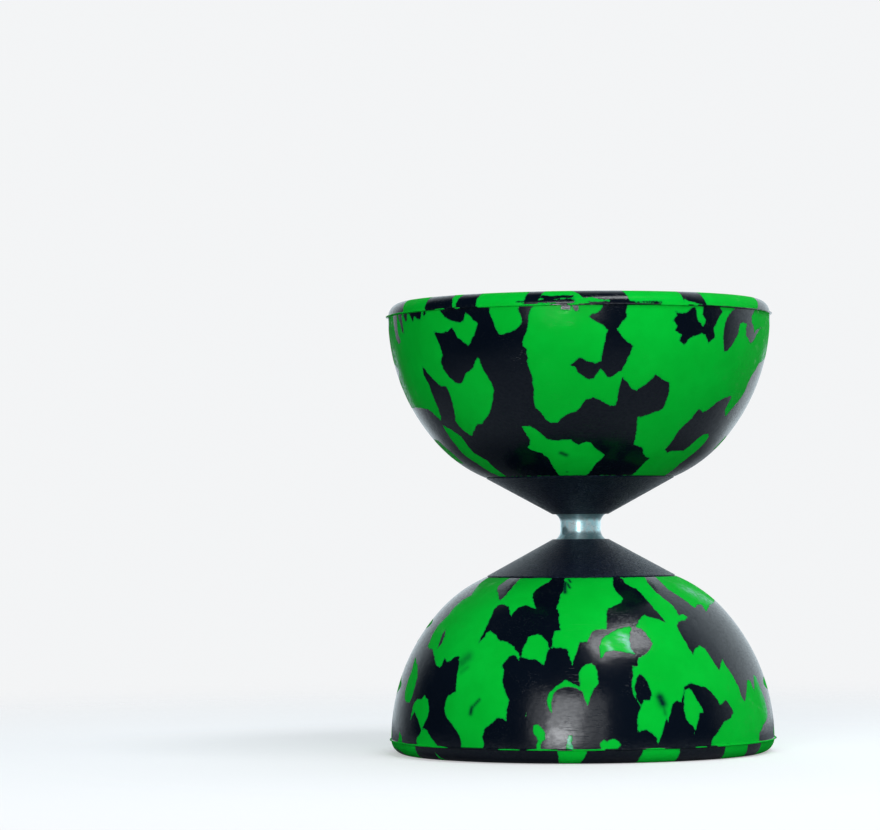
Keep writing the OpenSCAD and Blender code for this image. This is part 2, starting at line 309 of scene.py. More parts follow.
# Places where the green is rubbed shiny and also carries a painted pale teal sheen that stands in for
# reflected light, given in the same way.
SCUFFS_AND_SHEEN = {
    UPPER: [((83, 28), (80, 50), 4.0, 0.5), ((-80, 26), (-78, 50), 4.0, 0.5)],
    LOWER: [((9, 30), (9.8, 33.5), 0.8, 0.8), ((14.2, 28), (18, 33), 1.7, 1.0),
            ((-4, 60), (-3.5, 64), 0.9, 1.0), ((62, 9), (74, 17), 3.0, 0.6),
            ((-66, 10), (-70, 22), 3.0, 0.5), ((72, 44), (74, 56), 3.0, 0.5)],
}

# How far the marbling's distances reach, and the lip's run from flash to rim, in millimetres
FAR = 6.0
LIP_CLIMB = 6.0
# Outlines with fewer points than this are small drips, which only the front carries
LARGE_PATCH_POINTS = 8
# The other cup's marbling takes over at this azimuth, over this many degrees
BACK_AZIMUTH = 86
BACK_BLEND = 12
# One degree along the cup's rim
RIM_SCALE = math.radians(1) * BOWL_R


def from_segment(azimuth, run, scale, start, end):
    """Distance in millimetres from points on the wall to the straight line between two of them."""
    to_az, to_run = (start[0] - azimuth) * scale, start[1] - run
    along_az, along_run = (end[0] - start[0]) * scale, end[1] - start[1]
    length = np.maximum(along_az * along_az + along_run * along_run, 1e-9)
    share = np.clip(-(to_az * along_az + to_run * along_run) / length, 0, 1)
    return np.hypot(to_az + share * along_az, to_run + share * along_run)


def signed_distance(azimuth, run, scale, outline):
    """Distance in millimetres from points on the wall to a closed outline, positive inside it."""
    inside = np.zeros(azimuth.shape, bool)
    nearest = np.full(azimuth.shape, np.inf)
    points = np.reshape(outline, (-1, 2))
    for start, end in zip(points, np.roll(points, -1, axis=0)):
        nearest = np.minimum(nearest, from_segment(azimuth, run, scale, start, end))
        if start[1] != end[1]:
            slope = (end[0] - start[0]) / (end[1] - start[1])
            crosses = (start[1] > run) != (end[1] > run)
            inside ^= crosses & (azimuth < start[0] + (run - start[1]) * slope)
    return np.where(inside, nearest, -nearest)


def paint(value, colour, inside):
    """Lays a colour over the marbling, from how far inside the new patch each point is."""
    return np.maximum(value, inside) if colour == GREEN else np.minimum(value, -inside)


def painted(azimuth, run, scale, base, patches):
    """Signed distance to the marbling's edge, positive in green, from patches painted in order."""
    value = np.full(azimuth.shape, base * FAR)
    for colour, outline in patches:
        value = paint(value, colour, signed_distance(azimuth, run, scale, outline))
    return np.clip(value, -FAR, FAR)


def wall_pattern(side, azimuth, run, scale):
    """A whole wall's marbling. The back carries the other cup's larger patches, turned round and bent."""
    # The line where the front meets the back wanders by this many degrees.
    wobble = 5 * np.sin(run * 0.31) + 3 * np.sin(run * 0.83 + 1)
    share = np.clip((np.abs(azimuth) - BACK_AZIMUTH + wobble) / BACK_BLEND + 0.5, 0, 1)
    share = share * share * (3 - 2 * share)
    value = np.zeros(azimuth.shape)
    front, back = share < 1, share > 0
    value[front] += (1 - share[front]) * painted(
        azimuth[front], run[front], scale[front], WALL_BASE[side], WALL_PATCHES[side])
    turned = 180 - np.mod(azimuth[back], 360)
    bend = np.radians(turned)
    drift = run[back] + 1.5 * np.sin(bend * 5) + 1.0 * np.sin(bend * 11)
    turned = turned + 3 * np.sin(run[back] * 0.21 + side) + 1.5 * np.sin(run[back] * 0.53)
    large = [patch for patch in WALL_PATCHES[-side] if len(patch[1]) // 2 >= LARGE_PATCH_POINTS]
    value[back] += share[back] * painted(turned, drift, scale[back], WALL_BASE[-side], large)
    return value


def inside_stretch(azimuth, start, end):
    """How far inside a stretch of the rim points are, in millimetres. It may run past 180 degrees."""
    here = np.minimum(azimuth - start, end - azimuth)
    one_back = np.minimum(azimuth - start + 360, end - 360 - azimuth)
    return np.maximum(here, one_back) * RIM_SCALE


def lip_pattern(side, azimuth, run):
    """The blocks of colour round the lip, and the smears across them."""
    climb = np.clip((run - WALL_RUN) / LIP_CLIMB, 0, 2)
    value = np.full(azimuth.shape, LIP_BASE[side] * FAR)
    for first, last, first_top, last_top in LIP_BLOCKS[side]:
        start = first + (first_top - first) * climb
        end = last + (last_top - last) * climb
        value = paint(value, -LIP_BASE[side], inside_stretch(azimuth, start, end))
    for colour, outline in LIP_PATCHES[side]:
        value = paint(value, colour, signed_distance(azimuth, run, RIM_SCALE, outline))
    return np.clip(value, -FAR, FAR)


def flash_pattern(side, azimuth):
    """Which stretches of the mould flash are green."""
    value = np.full(azimuth.shape, -FAR)
    for first, last in FLASH_GREENS[side]:
        value = paint(value, GREEN, inside_stretch(azimuth, first, last))
    return np.clip(value, -FAR, FAR)


def mark_strength(marks, azimuth, run, scale):
    """How strongly a list of marks shows, from 0 to 1."""
    value = np.zeros(azimuth.shape)
    for start, end, half_width, strength in marks:
        away = from_segment(azimuth, run, scale, start, end)
        value = np.maximum(value, strength * np.exp(-(away / half_width) ** 2))
    return value


# --- Mesh tools ---
def arc(centre_r, centre_h, radius, start, end, steps):
    """Points along an arc in the (r, h) plane. Angles in radians from +r towards +h."""
    return [(centre_r + radius * math.cos(angle), centre_h + radius * math.sin(angle))
            for angle in np.linspace(start, end, steps + 1)]


def rounded(corners, radii, steps=4):
    """A closed outline of (r, h) corners with each corner rounded to its radius."""
    points = []
    count = len(corners)
    for i, radius in enumerate(radii):
        before, corner, after = (np.array(corners[j % count], float) for j in (i - 1, i, i + 1))
        if radius == 0:
            points.append(tuple(corner))
            continue
        back = (before - corner) / np.linalg.norm(before - corner)
        ahead = (after - corner) / np.linalg.norm(after - corner)
        half = math.acos(max(-1, min(1, float(back @ ahead)))) / 2
        reach = radius / math.tan(half)
        middle = corner + (back + ahead) / np.linalg.norm(back + ahead) * radius / math.sin(half)
        first, last = corner + back * reach - middle, corner + ahead * reach - middle
        for share in np.linspace(0, 1, steps + 1):
            blend = first * (1 - share) + last * share
            points.append(tuple(middle + blend / np.linalg.norm(blend) * radius))
    return points


def subdivided(points, longest):
    """A closed outline with no stretch between two points over the given length."""
    result = []
    for start, end in zip(points, points[1:] + points[:1]):
        steps = max(1, math.ceil(math.dist(start, end) / longest))
        result += [tuple(point) for point in np.linspace(start, end, steps + 1)[:-1]]
    return result


def turned_grid(outline, columns):
    """The radius, the height and the azimuth in degrees of every vertex of a turned outline."""
    radius, height = (np.repeat(np.array(outline)[:, i:i + 1], columns, axis=1) for i in (0, 1))
    azimuth = np.linspace(-180, 180, columns, endpoint=False)[None, :]
    return radius, height, azimuth


def add_object(name, data):
    """Puts a mesh, a light or a camera into the scene."""
    item = bpy.data.objects.new(name, data)
    bpy.context.scene.collection.objects.link(item)
    return item


def ring_mesh(name, radius, height, side, attributes, sharp_angle=38, azimuths=None):
    """A closed ring of faces. radius and height are (rows, columns) in millimetres, outer side first."""
    rows, columns = radius.shape
    if azimuths is None:
        azimuths = np.linspace(-math.pi, math.pi, columns, endpoint=False)
    place = np.stack([radius * np.sin(azimuths), -radius * np.cos(azimuths), side * height], -1) * MM
    place[..., 2] += MIDDLE
    index = np.arange(rows * columns).reshape(rows, columns)
    above = np.roll(index, -1, axis=0)
    corners = [index, np.roll(index, -1, axis=1), np.roll(above, -1, axis=1), above]
    if side == LOWER:
        corners = [corners[0], *reversed(corners[1:])]
    faces = np.stack(corners, -1).reshape(-1, 4)
    mesh = bpy.data.meshes.new(name)
    mesh.vertices.add(rows * columns)
    mesh.vertices.foreach_set("co", place.astype(np.float32).ravel())
    mesh.loops.add(faces.size)
    mesh.loops.foreach_set("vertex_index", faces.astype(np.int32).ravel())
    mesh.polygons.add(len(faces))
    mesh.polygons.foreach_set("loop_start", np.arange(0, faces.size, 4, dtype=np.int32))
    mesh.polygons.foreach_set("use_smooth", np.ones(len(faces), bool))
    mesh.update(calc_edges=True)
    for key, values in attributes.items():
        layer = mesh.attributes.new(key, "FLOAT", "POINT")
        layer.data.foreach_set("value", np.ascontiguousarray(values, np.float32).ravel())
    mesh.set_sharp_from_angle(angle=math.radians(sharp_angle))
    return add_object(name, mesh)


def close_ends(mesh):
    """Joins each end row that lies on the axis into one point, which leaves a closed solid."""
    solid = bmesh.new()
    solid.from_mesh(mesh)
    bmesh.ops.remove_doubles(solid, verts=solid.verts, dist=1e-7)
    loose = [edge for edge in solid.edges if not edge.link_faces]
    bmesh.ops.delete(solid, geom=loose, context="EDGES")
    solid.to_mesh(mesh)
    solid.free()


def edge_wear(points, edges, reach):
    """For each outline point, 1 at a worn edge and falling to 0 at reach millimetres from it."""
    wear = np.zeros(len(points))
    for edge in edges:
        away = np.hypot(*(np.array(points) - np.array(edge)).T)
        wear = np.maximum(wear, np.clip(1 - away / reach, 0, 1))
    return wear


def place_piece(piece, node, material):
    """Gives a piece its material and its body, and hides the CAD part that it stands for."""
    piece.data.materials.append(material)
    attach(piece, "root")
    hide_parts(node)


def make_turned(side, name, node, material, outline, columns, edges=(), reach=1.0):
    """Makes one of a half's round pieces from its closed (r, h) outline, worn at the given edges."""
    radius, height, _ = turned_grid(outline, columns)
    wear = np.broadcast_to(edge_wear(outline, edges, reach)[:, None], radius.shape)
    piece = ring_mesh(SIDE_NAMES[side] + "_" + name, radius, height, side, {"edge_wear": wear})
    place_piece(piece, SIDE_NAMES[side] + "_" + node, material)


# --- Node tools ---
class Output:
    """One output of a node. Adding, subtracting or multiplying makes a math node."""

    def __init__(self, tree, socket):
        self.tree = tree
        self.socket = socket

    def __add__(self, other):
        return self.tree.math("ADD", self, other)

    def __sub__(self, other):
        return self.tree.math("SUBTRACT", self, other)

    def __rsub__(self, other):
        return self.tree.math("SUBTRACT", other, self)

    def __mul__(self, other):
        return self.tree.math("MULTIPLY", self, other)


class Tree:
    """A short way to write the node tree of a material or a world."""

    def __init__(self, owner):
        owner.use_nodes = True
        self.owner = owner
        self.nodes = owner.node_tree.nodes
        self.links = owner.node_tree.links

    def feed(self, socket, value):
        """Links a node's output to a socket, or sets the socket to a constant."""
        if isinstance(value, Output):
            self.links.new(value.socket, socket)
        else:
            socket.default_value = value

    def node(self, kind, inputs=None, output=0, **settings):
        """Adds a node, feeds its inputs by name or number, and gives one of its outputs."""
        node = self.nodes.new("ShaderNode" + kind)
        for key, value in settings.items():
            setattr(node, key, value)
        for key, value in (inputs or {}).items():
            self.feed(node.inputs[key], value)
        return Output(self, node.outputs[output])

    def math(self, operation, a, b, clamp=False):
        return self.node("Math", {0: a, 1: b}, operation=operation, use_clamp=clamp)

    def vector(self, operation, inputs, output="Vector"):
        return self.node("VectorMath", inputs, output, operation=operation)

    def spread(self, value, low, high, to_low=0.0, to_high=1.0):
        """Eases the value from one range to another."""
        inputs = dict(enumerate((value, low, high, to_low, to_high)))
        return self.node("MapRange", inputs, interpolation_type="SMOOTHSTEP")

    def mix(self, share, a, b):
        """Mixes two colours, which go into the node's sockets 6 and 7."""
        return self.node("Mix", {0: share, 6: a, 7: b}, 2, data_type="RGBA")

    def surface(self, kind, inputs):
        """Puts a shader node in front of the tree's own output, in place of the default one."""
        output = next(node for node in self.nodes if "Surface" in node.inputs)
        self.nodes.remove(output.inputs["Surface"].links[0].from_node)
        self.feed(output.inputs["Surface"], self.node(kind, inputs))


class Material(Tree):
    """The node tree of a piece's material. Sizes are in millimetres."""

    def __init__(self, name):
        super().__init__(bpy.data.materials.new(name))
        self.shader = next(node for node in self.nodes if node.type == "BSDF_PRINCIPLED")
        self.place = self.node("TexCoord", output="Object")

    def finished(self, values):
        """Feeds the shader and gives the material."""
        for key, value in values.items():
            self.feed(self.shader.inputs[key], value)
        return self.owner

    def attribute(self, name):
        return self.node("Attribute", output="Fac", attribute_name=name)

    def noise(self, size, detail=3.0, roughness=0.5, place=None):
        return self.node("TexNoise", {"Vector": place or self.place, "Scale": 1 / (size * MM),
                                      "Detail": detail, "Roughness": roughness})

    def bump(self, height, distance, before=None):
        """A normal raised by the height, on top of an earlier normal where one is given."""
        inputs = {"Height": height, "Distance": distance * MM}
        if before is not None:
            inputs["Normal"] = before
        return self.node("Bump", inputs)

    def stretched(self, x, y, z, turn=(0, 0, 0)):
        """Coordinates scaled by x, y and z, and turned."""
        return self.node("Mapping", {"Vector": self.place, "Rotation": turn, "Scale": (x, y, z)})

    def slanted(self, squeeze, tilt):
        """Coordinates turned by tilt and squeezed along one axis, for straight streaks."""
        return self.stretched(squeeze, 1, 1, (0.4 * tilt, tilt, 0.3))

    def around(self, reach, radial=0.0):
        """Coordinates for streaks that run round the axle. A short reach makes them long."""
        flat = self.vector("MULTIPLY", {0: self.place, 1: (1, 1, 0)})
        outward = self.vector("NORMALIZE", {0: flat})
        ring = self.vector("SCALE", {0: outward, "Scale": reach * MM})
        radius = self.vector("LENGTH", {0: flat}, "Value")
        height = self.node("SeparateXYZ", {0: self.place}, 2)
        lift = self.node("CombineXYZ", {2: height + radius * radial})
        return self.vector("ADD", {0: ring, 1: lift})

    def scratches(self, width, length, tilt):
        """Thin lines of the given width and length, 1 on a line and 0 beside it."""
        return self.spread(self.noise(width, 1, 0.5, self.slanted(width / length, tilt)), 0.64, 0.72)

    def worn(self, size, low, high):
        """The worn edges, broken up by noise of the given size."""
        broken = self.spread(self.noise(size, 4, 0.7), low, high)
        return self.math("MULTIPLY", self.attribute("edge_wear"), broken, clamp=True)


# --- Materials ---
def rubber_material():
    """Moulded rubber, glossier in the black. The marble attribute is positive inside the green."""
    tree = Material("marbled_rubber")
    ragged = (tree.noise(1.6, 4, 0.6) - 0.5) * 1.2
    feather = (tree.noise(0.35, 2, 0.6) - 0.5) * 0.35
    field = tree.attribute("marble") + ragged + feather
    green = tree.spread(field, -0.08, 0.08)

    tone = tree.spread(tree.noise(22, 2), 0.3, 0.7)
    cloud = tree.spread(tree.noise(5, 4, 0.6), 0.35, 0.75)
    seam = 1.0 - tree.spread(field, 0.05, 0.45)
    smear = tree.noise(0.8, 4, 0.7, tree.stretched(1.4, 1.4, 0.6)) * 0.7
    rubbed = tree.math("MULTIPLY", tree.attribute("marks"), smear + 0.7, clamp=True)
    streaks = tree.spread(tree.noise(1.1, 4, 0.7, tree.slanted(0.3, 0.9)), 0.40, 0.60)
    scuffed_and_sheen = tree.math("MULTIPLY", tree.attribute("scuffs_and_sheen"), streaks + 0.2, clamp=True)
    vivid = tree.mix(tone, (0.0012, 0.47, 0.028, 1), (0.0016, 0.53, 0.035, 1))
    vivid = tree.mix(cloud * 0.4, vivid, (0.001, 0.42, 0.025, 1))
    vivid = tree.mix(seam * 0.5, vivid, (0.0008, 0.16, 0.040, 1))
    vivid = tree.mix(rubbed, vivid, (0.0015, 0.022, 0.020, 1))
    # Painted sheen: the rubbed places are tinted pale teal, like the reflected light on them.
    vivid = tree.mix(scuffed_and_sheen * 0.6, vivid, (0.05, 0.37, 0.33, 1))

    dark = tree.mix(tone, (0.0012, 0.0030, 0.0072, 1), (0.0022, 0.0044, 0.0092, 1))
    worn = tree.worn(1.4, 0.45, 0.7)
    lines = tree.math("MAXIMUM", tree.scratches(0.26, 14, 0.6), tree.scratches(0.24, 12, 2.3))
    lines = lines * tree.spread(tree.noise(13, 3, 0.6), 0.42, 0.62)
    colour = tree.mix(green, dark, vivid)
    colour = tree.mix(worn * 0.08, colour, (0.25, 0.32, 0.30, 1))
    colour = tree.mix(lines * 0.03, colour, (0.22, 0.25, 0.27, 1))

    wiped = tree.noise(0.40, 5, 0.75, tree.around(14))
    brushed = tree.noise(0.60, 4, 0.7, tree.slanted(0.4, 0.9))
    shiny_black = tree.spread(wiped, 0.35, 0.80, 1.0, 0.86) * tree.spread(brushed, 0.35, 0.70, 1.0, 0.66)
    shiny_black = shiny_black * tree.spread(lines, 0, 1, 1.0, 0.6)
    shiny_black = shiny_black * tree.spread(tree.attribute("dull"), 0, 1, 1.0, 0.35)
    polished = tree.spread(tree.noise(2.2, 5, 0.7, tree.slanted(0.35, 0.5)), 0.54, 0.74)
    shiny_green = tree.math("ADD", tree.spread(polished, 0, 1, 0.04, 0.34), scuffed_and_sheen * 0.85, clamp=True)
    gloss = green * shiny_green + (1.0 - green) * shiny_black

    normal = tree.bump(tree.noise(6, 2, 0.5), 0.10)
    normal = tree.bump(wiped * 0.08 + brushed - lines * 0.5, 0.022, normal)
    normal = tree.bump(green, 0.012, normal)
    return tree.finished({
        "Base Color": colour, "Roughness": worn * 0.15 + 0.45, "Normal": normal, "IOR": 1.50,
        "Specular IOR Level": 0.0, "Coat Weight": gloss, "Coat Roughness": 0.15, "Coat Normal": normal})


def nylon_material(name, low, high, grain_size, roughness):
    """Satin moulded plastic: a fine grain, scuff marks round the axle and paler worn edges."""
    tree = Material(name)
    grain = tree.noise(grain_size, 3, 0.65)
    speck = tree.spread(tree.noise(grain_size * 1.3, 2, 0.6), 0.52, 0.72)
    scuff = tree.spread(tree.noise(1.0, 4, 0.7, tree.around(6, 1.0)), 0.5, 0.8)
    colour = tree.mix(tree.spread(tree.noise(7, 4, 0.6), 0.3, 0.7), low, high)
    colour = tree.mix(speck * 0.34, colour, (0.042, 0.058, 0.100, 1))
    colour = tree.mix(tree.worn(0.9, 0.45, 0.65) * 0.2, colour, (0.10, 0.105, 0.115, 1))
    rough = grain * 0.8 - scuff * 0.06 + (roughness - 0.4)
    normal = tree.bump(scuff, 0.01, tree.bump(grain, grain_size * 0.6))
    return tree.finished({
        "Base Color": colour, "Roughness": rough, "Normal": normal, "IOR": 1.33,
        "Specular Tint": (0.64, 0.82, 1.0, 1)})


def polished_material():
    """Polished turned steel. The grime attribute darkens it with painted shade in bands near both cones,
    and with one dark smear.
    """
    tree = Material("polished_steel_turned")
    lines = tree.noise(0.16, 4, 0.7, tree.around(0.8))
    fine = tree.spread(lines, 0.35, 0.75)
    mottle = tree.noise(1.6, 4, 0.65, tree.stretched(1, 1, 0.7))
    stain_and_shade = tree.spread(tree.attribute("grime_and_shade") + mottle * 0.9, 0.50, 1.15)
    colour = tree.mix(tree.spread(mottle, 0.35, 0.65), (0.54, 0.95, 1.0, 1), (0.82, 1.0, 1.0, 1))
    # Painted shade: the steel turns dark teal near both cones, and in the one smear.
    colour = tree.mix(stain_and_shade * 0.82, colour, (0.026, 0.095, 0.112, 1))
    colour = tree.mix(fine * 0.20, colour, (0.88, 0.97, 0.97, 1))
    normal = tree.bump(stain_and_shade, 0.010, tree.bump(lines, 0.004))
    return tree.finished({
        "Base Color": colour, "Roughness": fine * 0.06 + stain_and_shade * 0.15 + 0.27, "Normal": normal,
        "Metallic": 0.50, "Anisotropic": 0.92, "Anisotropic Rotation": 0.25})


def zinc_material():
    """Bright zinc plate: a faint mottle, fine turning lines and brighter worn edges."""
    tree = Material("zinc_plate")
    mottle = tree.spread(tree.noise(1.8, 5, 0.65), 0.3, 0.7)
    lines = tree.noise(0.25, 4, 0.7, tree.around(2, 1.0))
    colour = tree.mix(mottle, (0.48, 0.50, 0.52, 1), (0.66, 0.68, 0.69, 1))
    colour = tree.mix(tree.worn(0.5, 0.4, 0.6) * 0.7, colour, (0.85, 0.85, 0.84, 1))
    return tree.finished({
        "Base Color": colour, "Roughness": mottle * 0.16 + lines * 0.18 + 0.16,
        "Normal": tree.bump(lines, 0.012), "Metallic": 1.0})


def insert_material():
    """Natural nylon: milky white, slightly grubby."""
    tree = Material("natural_nylon")
    cloud = tree.spread(tree.noise(1.2, 4, 0.6), 0.3, 0.7)
    colour = tree.mix(cloud, (0.58, 0.60, 0.56, 1), (0.74, 0.76, 0.72, 1))
    rough = tree.spread(tree.noise(0.4, 3), 0.2, 0.8, 0.36, 0.52)
    return tree.finished({
        "Base Color": colour, "Roughness": rough, "Normal": tree.bump(tree.noise(0.3, 3), 0.01),
        "Subsurface Weight": 0.2})


# --- The cups ---
WALL_ROWS = 107
LIP_ROWS = 14
BEAD_ROWS = 12
INNER_ROWS = 38
FLOOR_ROWS = 4
# The mould flash: half its height at its root and at its edge, and how far it stands out at least
FLASH_ROOT = 0.35
FLASH_EDGE = 0.1
FLASH_LEAST = 0.35
# The bead inside the lip ends at this angle, and the inner wall starts this far below the flash
BEAD_END = math.radians(268)
INNER_DROP = 6.2
# Where the inner wall meets the floor, the corner is cut by this much up the wall and inwards
CORNER_RISE = 1.0
CORNER_REACH = 1.4
# The edges of the hole in the floor
HOLE_CHAMFER = 0.3
# The floor's marbling: millimetres of run for each millimetre of radius
FLOOR_RUN = 0.6
# The inside carries the other cup's marbling, turned by this many degrees
INSIDE_TURN = 127
# The upper cup's black is dull up to the first run and has its full gloss from the second
DULL_RUN = 12.0
SHINY_RUN = 26.0


def wall_point(run, offset=0.0):
    """(r, h) at a run along the wall from the hub edge, moved inwards by offset."""
    if run < SHOULDER_RUN:
        angle = FOOT_ANGLE - run / SHOULDER_R
        reach = SHOULDER_R - offset
        return SHOULDER_CENTRE_R + reach * math.cos(angle), SHOULDER_CENTRE_H - reach * math.sin(angle)
    angle = SHOULDER_ANGLE - (run - SHOULDER_RUN) / BOWL_R
    reach = BOWL_R - offset
    return reach * math.cos(angle), BOWL_H - reach * math.sin(angle)


def cup_outline():
    """The cup's closed outline as (r, h, run, zone) rows. The flash rows are moved out later."""
    rows = [(FOOT_R, FOOT_H, 0.0, "wall")]
    rows += [(*wall_point(run), run, "wall")
             for run in np.linspace(0.3, WALL_RUN - FLASH_ROOT, WALL_ROWS)]
    rows += [(BOWL_R, BOWL_H + rise, WALL_RUN, "flash") for rise in (-FLASH_EDGE, FLASH_EDGE)]
    flat = math.asin((RIM_H - BOWL_H) / LIP_R)
    for r, h in arc(LIP_CENTRE_R, BOWL_H, LIP_R, FLASH_ROOT / LIP_R, flat, LIP_ROWS):
        rows.append((r, h, WALL_RUN + LIP_R * math.asin((h - BOWL_H) / LIP_R), "lip"))
    run = WALL_RUN + LIP_R * flat
    bead_step = LIP_R * (BEAD_END - (math.pi - flat)) / BEAD_ROWS
    for r, h in arc(LIP_CENTRE_R, BOWL_H, LIP_R, math.pi - flat, BEAD_END, BEAD_ROWS):
        run += bead_step
        rows.append((r, h, run, "lip"))
    inner_foot = math.asin((SHOULDER_CENTRE_H - FLOOR_H - CORNER_RISE) / (SHOULDER_R - WALL))
    inner_runs = np.linspace(WALL_RUN - INNER_DROP, SHOULDER_R * (FOOT_ANGLE - inner_foot), INNER_ROWS)
    rows += [(*wall_point(run, WALL), run, "inner") for run in inner_runs]
    for r in np.linspace(rows[-1][0] - CORNER_REACH, FLOOR_HOLE_R + HOLE_CHAMFER, FLOOR_ROWS):
        rows.append((r, FLOOR_H, r * FLOOR_RUN, "inner"))
    rows.append((FLOOR_HOLE_R, FLOOR_H - HOLE_CHAMFER, 0.0, "under"))
    rows.append((FLOOR_HOLE_R, FOOT_H, 0.0, "under"))
    return rows


def flash_reach(side):
    """How far the mould flash stands out of the wall at each column, in millimetres."""
    rng = np.random.default_rng(40 + side)
    azimuth = np.radians(CUP_AZIMUTHS)
    value = np.zeros(COLUMNS)
    for waves in (3, 7, 13, 29, 61, 97, 151):
        height = rng.uniform(0.4, 1.0)
        value += height * np.sin(waves * azimuth + rng.uniform(0, 2 * math.pi)) / waves ** 0.3
    value = (value - value.min()) / (value.max() - value.min())
    return FLASH_LEAST + (FLASH_R - BOWL_R - FLASH_LEAST) * value


def make_cup(side, material):
    """One rubber cup, with its marbling worked out at each vertex."""
    rows = cup_outline()
    radius, height, run = (np.repeat([[row[i]] for row in rows], COLUMNS, axis=1) for i in range(3))
    azimuth = np.broadcast_to(np.mod(CUP_AZIMUTHS + 180, 360) - 180, radius.shape)
    zone = np.array([row[3] for row in rows])
    wall, inner, lip, flash = (zone == key for key in ("wall", "inner", "lip", "flash"))
    radius[flash] += flash_reach(side)
    scale = math.radians(1) * radius

    marble = np.full(radius.shape, -FAR)
    on_wall = azimuth[wall], run[wall], scale[wall]
    marble[wall] = wall_pattern(side, *on_wall)
    turned = np.mod(azimuth[inner] + INSIDE_TURN + 180, 360) - 180
    marble[inner] = wall_pattern(-side, turned, run[inner], scale[inner])
    marble[lip] = lip_pattern(side, azimuth[lip], run[lip])
    marble[flash] = flash_pattern(side, azimuth[flash])

    marks, scuffs_and_sheen, dull = (np.zeros(radius.shape) for _ in range(3))
    marks[wall] = mark_strength(MARKS[side], *on_wall)
    # Rubbed shiny places, which also carry a painted teal sheen
    scuffs_and_sheen[wall] = mark_strength(SCUFFS_AND_SHEEN[side], *on_wall)
    if side == UPPER:
        dull[wall] = np.clip((SHINY_RUN - run[wall]) / (SHINY_RUN - DULL_RUN), 0, 1)
    outline = [row[:2] for row in rows]
    edges = [(FLASH_R, BOWL_H), (LIP_CENTRE_R + 1, RIM_H), (LIP_CENTRE_R - 1, RIM_H)]
    wear = np.broadcast_to(edge_wear(outline, edges, reach=1.6)[:, None], radius.shape)
    attributes = {"marble": marble, "marks": marks, "scuffs_and_sheen": scuffs_and_sheen, "dull": dull, "edge_wear": wear}
    piece = ring_mesh(SIDE_NAMES[side] + "_cup_marbled", radius, height, side, attributes,
                      azimuths=np.radians(CUP_AZIMUTHS))
    place_piece(piece, SIDE_NAMES[side] + "_cup", material)


# --- The axle and its fittings ---
def make_cone(side, material):
    """The black hub cone, with its spigot in the cup's floor and its pocket over the spool's end."""
    tip = (CONE_TIP_R, CONE_TIP_H)
    corners = [tip, (CONE_R, CONE_EDGE_H), (CONE_R, FOOT_H), (SPIGOT_R, FOOT_H),
               (SPIGOT_R, SPIGOT_H), (HUB_BORE_R, SPIGOT_H), (HUB_BORE_R, HUB_POCKET_H),
               (HUB_POCKET_R, HUB_POCKET_H), (HUB_POCKET_R, CONE_TIP_H)]
    outline = subdivided(rounded(corners, [0.25, 0.15, 0.12, 0, 0.3, 0.2, 0, 0, 0.08]), 1.5)
    make_turned(side, "cone_moulded", "hub_cone", material, outline, 256, [tip], 0.8)


def grime_and_shade_strength(azimuth, height):
    """Darkening of the spool, from 0 to 1.3: painted shade in bands near both cones, stronger on one side
    at the bottom, and one dark smear low on the left.
    """
    # Painted shade: bands that darken towards each cone
    top = np.clip((height - 1.5) / 1.9, 0, 1)
    bottom = np.clip((-height - 0.8) / 2.0, 0, 1) * np.where(np.abs(azimuth - 30) < 75, 0.95, 0.45)
    smear = np.exp(-((azimuth + 52) / 13) ** 2 - ((height + 1.5) / 1.3) ** 2)
    return np.maximum(np.maximum(top, bottom), 1.3 * smear)


def make_spool(material):
    """The waisted steel spool that the string runs on."""
    groove_centre_r = WAIST_R + GROOVE_R
    angle = math.acos((groove_centre_r - SPOOL_R) / GROOVE_R)
    upper = arc(groove_centre_r, GROOVE_CENTRE_H, GROOVE_R, math.pi, math.pi - angle, 24)
    upper += [(SPOOL_R, SPOOL_H - SPOOL_CHAMFER), (SPOOL_R - SPOOL_CHAMFER, SPOOL_H),
              (HUB_BORE_R, SPOOL_H)]
    lower = [(r, -h) for r, h in reversed(upper)]
    radius, height, azimuth = turned_grid(subdivided(lower + upper, 0.6), 192)
    piece = ring_mesh("axle_spool_turned", radius, height, UPPER,
                      {"grime_and_shade": grime_and_shade_strength(azimuth, height)})
    place_piece(piece, "axle_spool", material)


def make_rod(material):
    """The steel rod, plain in the middle and threaded towards both ends."""
    columns, rows_per_turn = 60, 10
    rows = round(2 * ROD_H / THREAD_PITCH * rows_per_turn)
    height = np.repeat(np.linspace(-ROD_H, ROD_H, rows)[:, None], columns, axis=1)
    phase = np.mod(height / THREAD_PITCH - np.arange(columns) / columns, 1)
    # Sloping flanks between a narrow flat bottom and a narrow flat crest
    groove = np.clip(1.15 - np.abs(phase - 0.5) * 2.6, 0, 1) * THREAD_DEPTH
    groove *= np.clip((np.abs(height) - THREAD_FROM_H) / THREAD_PITCH, 0, 1)
    end = np.clip(np.abs(height) - ROD_H + ROD_CHAMFER, 0, ROD_CHAMFER)
    cap_r = np.repeat([[2.2], [0.9], [0.0]], columns, axis=1)
    cap_h = np.full(cap_r.shape, ROD_H)
    radius = np.concatenate([cap_r[::-1], ROD_R - np.maximum(groove, end), cap_r])
    height = np.concatenate([-cap_h, height, cap_h])
    wear = np.clip(1 - (ROD_R - radius) / 0.2, 0, 1) * (np.abs(height) > THREAD_FROM_H)
    piece = ring_mesh("axle_rod_threaded", radius, height, UPPER, {"edge_wear": wear})
    close_ends(piece.data)
    place_piece(piece, "axle_rod", material)


